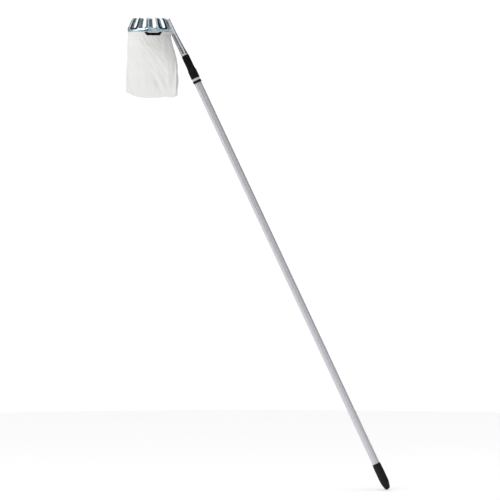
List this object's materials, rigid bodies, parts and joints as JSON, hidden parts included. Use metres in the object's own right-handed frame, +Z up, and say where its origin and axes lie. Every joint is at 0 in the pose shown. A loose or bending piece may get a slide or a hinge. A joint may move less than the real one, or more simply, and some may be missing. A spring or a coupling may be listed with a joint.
{
  "type": "fruit picker basket",
  "caption": "Fruit picker: a toothed steel crown with a cotton bag below it, on a telescopic pole with a twist lock and an end cap.",
  "frame": {"origin": "middle of the flat tip of the end cap at the pole's lower end", "axes": "+Z up, along the crown's axis; the pole lies in the XZ plane and leans 25 degrees towards -X; +Y points away from the side that is seen first"},
  "size_m": [0.7944, 0.146, 1.4145],
  "materials": {
    "zinc_steel": "zinc plated, semi-bright",
    "bright_steel": "bright plated",
    "pole_coat": "satin silver-grey coat",
    "bare_aluminium": "drawn",
    "black_plastic": "moulded, satin",
    "cap_plastic": "moulded, soft sheen",
    "pale_plastic": "natural nylon",
    "wire_steel": "drawn wire",
    "canvas": "plain-woven off-white cotton",
    "band_cloth": "woven elastic"
  },
  "bodies": {
    "pole": {"outer_tube": "pole_coat", "end_cap": "cap_plastic", "stop_band": "black_plastic", "lock_body": "pale_plastic", "collet": "pale_plastic", "liner_ring": "pale_plastic"},
    "nut": {"lock_nut": "black_plastic"},
    "slider": {"wear_ring": "pale_plastic"},
    "head": {"guide_plug": "black_plastic", "inner_tube": "bare_aluminium", "tip_plug": "black_plastic", "socket": "bright_steel", "socket_screw": "bright_steel", "ear_rivets": "bright_steel", "crown": "zinc_steel", "hem_clips": "wire_steel", "hem_hoop": "wire_steel", "draw_band": "band_cloth", "bag_hem": "canvas", "bag_neck": "canvas"},
    "bag": {"picking_bag": "canvas"}
  },
  "joints": [
    {"name": "lock_nut_turn", "type": "hinge", "parent": "pole", "child": "nut", "pos_m": [-0.59388, 0, 1.2678], "axis": [-0.4242, 0, 0.9056], "range_deg": [0, 180]},
    {"name": "pole_extend", "type": "slide", "parent": "pole", "child": "slider", "axis": [-0.4242, 0, 0.9056], "range_m": [0, 1.18]},
    {"name": "head_swivel", "type": "hinge", "parent": "slider", "child": "head", "pos_m": [-0.06066, 0, 0.1295], "axis": [-0.4242, 0, 0.9056], "continuous": true},
    {"name": "bag_swing", "type": "hinge", "parent": "head", "child": "bag", "pos_m": [-0.71581, 0, 1.31939], "axis": [0, 1, 0], "range_deg": [-10, 20]}
  ]
}
